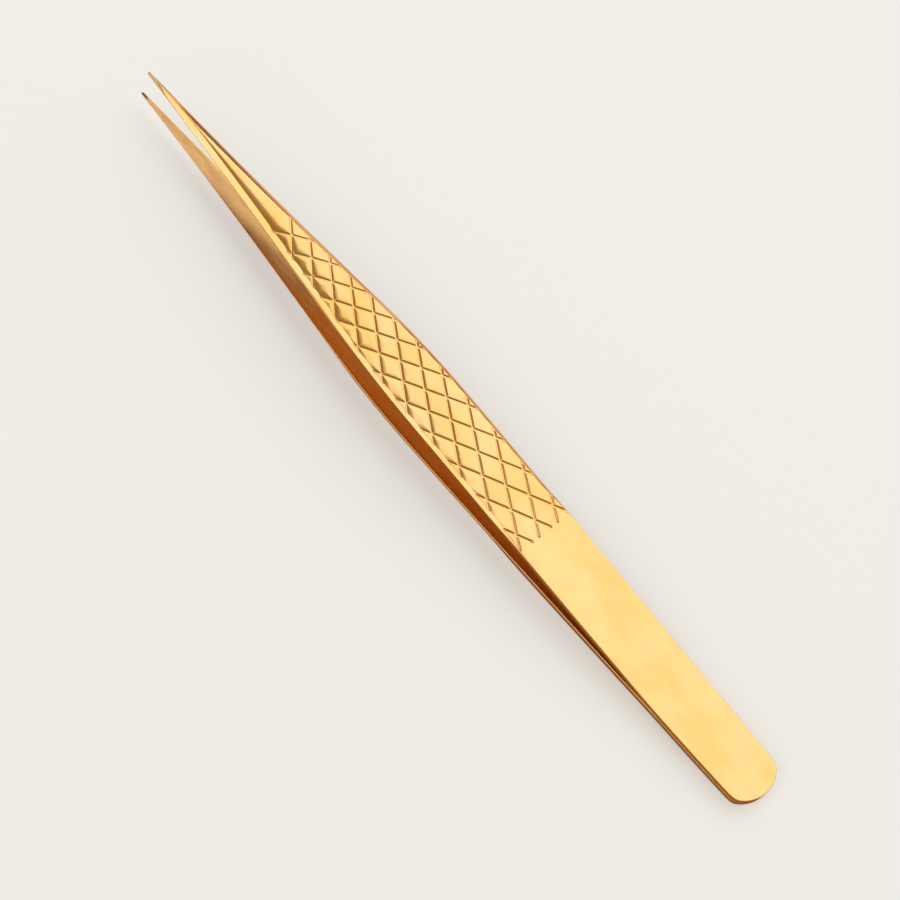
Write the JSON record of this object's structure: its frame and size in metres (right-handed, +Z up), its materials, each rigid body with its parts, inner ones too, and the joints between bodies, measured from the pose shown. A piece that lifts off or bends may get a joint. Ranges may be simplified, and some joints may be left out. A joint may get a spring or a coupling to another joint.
{
  "type": "stamp tongs",
  "caption": "Spring-steel stamp tongs with needle points and a diamond-pattern finger grip, for lifting stamps and other small flat items.",
  "frame": {"origin": "on the surface that the tongs lie on, midway between the heel end and the points, in the middle of their width", "axes": "+X from the heel to the points, +Y across the arms, +Z up from the surface, which is the opening direction to within 2 degrees"},
  "size_m": [0.14, 0.01, 0.0098],
  "materials": {
    "arm_gold": "polished gold plating, satin on the inner faces",
    "weld_steel": "as welded, hidden inside the heel"
  },
  "bodies": {
    "heel": {"upper_heel_leaf": "arm_gold", "lower_heel_leaf": "arm_gold", "rear_spot_weld": "weld_steel", "front_spot_weld": "weld_steel"},
    "upper_arm": {"upper_arm": "arm_gold"},
    "lower_arm": {"lower_arm": "arm_gold"}
  },
  "joints": [
    {"name": "upper_arm_flex", "type": "hinge", "parent": "heel", "child": "upper_arm", "pos_m": [-0.03208, 0, 0.0038], "axis": [0, 1, 0], "range_deg": [0, 1.86], "stiffness_Nm_per_rad": 2.5},
    {"name": "lower_arm_flex", "type": "hinge", "parent": "heel", "child": "lower_arm", "pos_m": [-0.03197, 0, 0.0009], "axis": [0, -1, 0], "range_deg": [0, 1.86], "stiffness_Nm_per_rad": 2.5}
  ],
  "couplings": [
    {"joint": "lower_arm_flex", "follows": "upper_arm_flex", "ratio": 1}
  ]
}
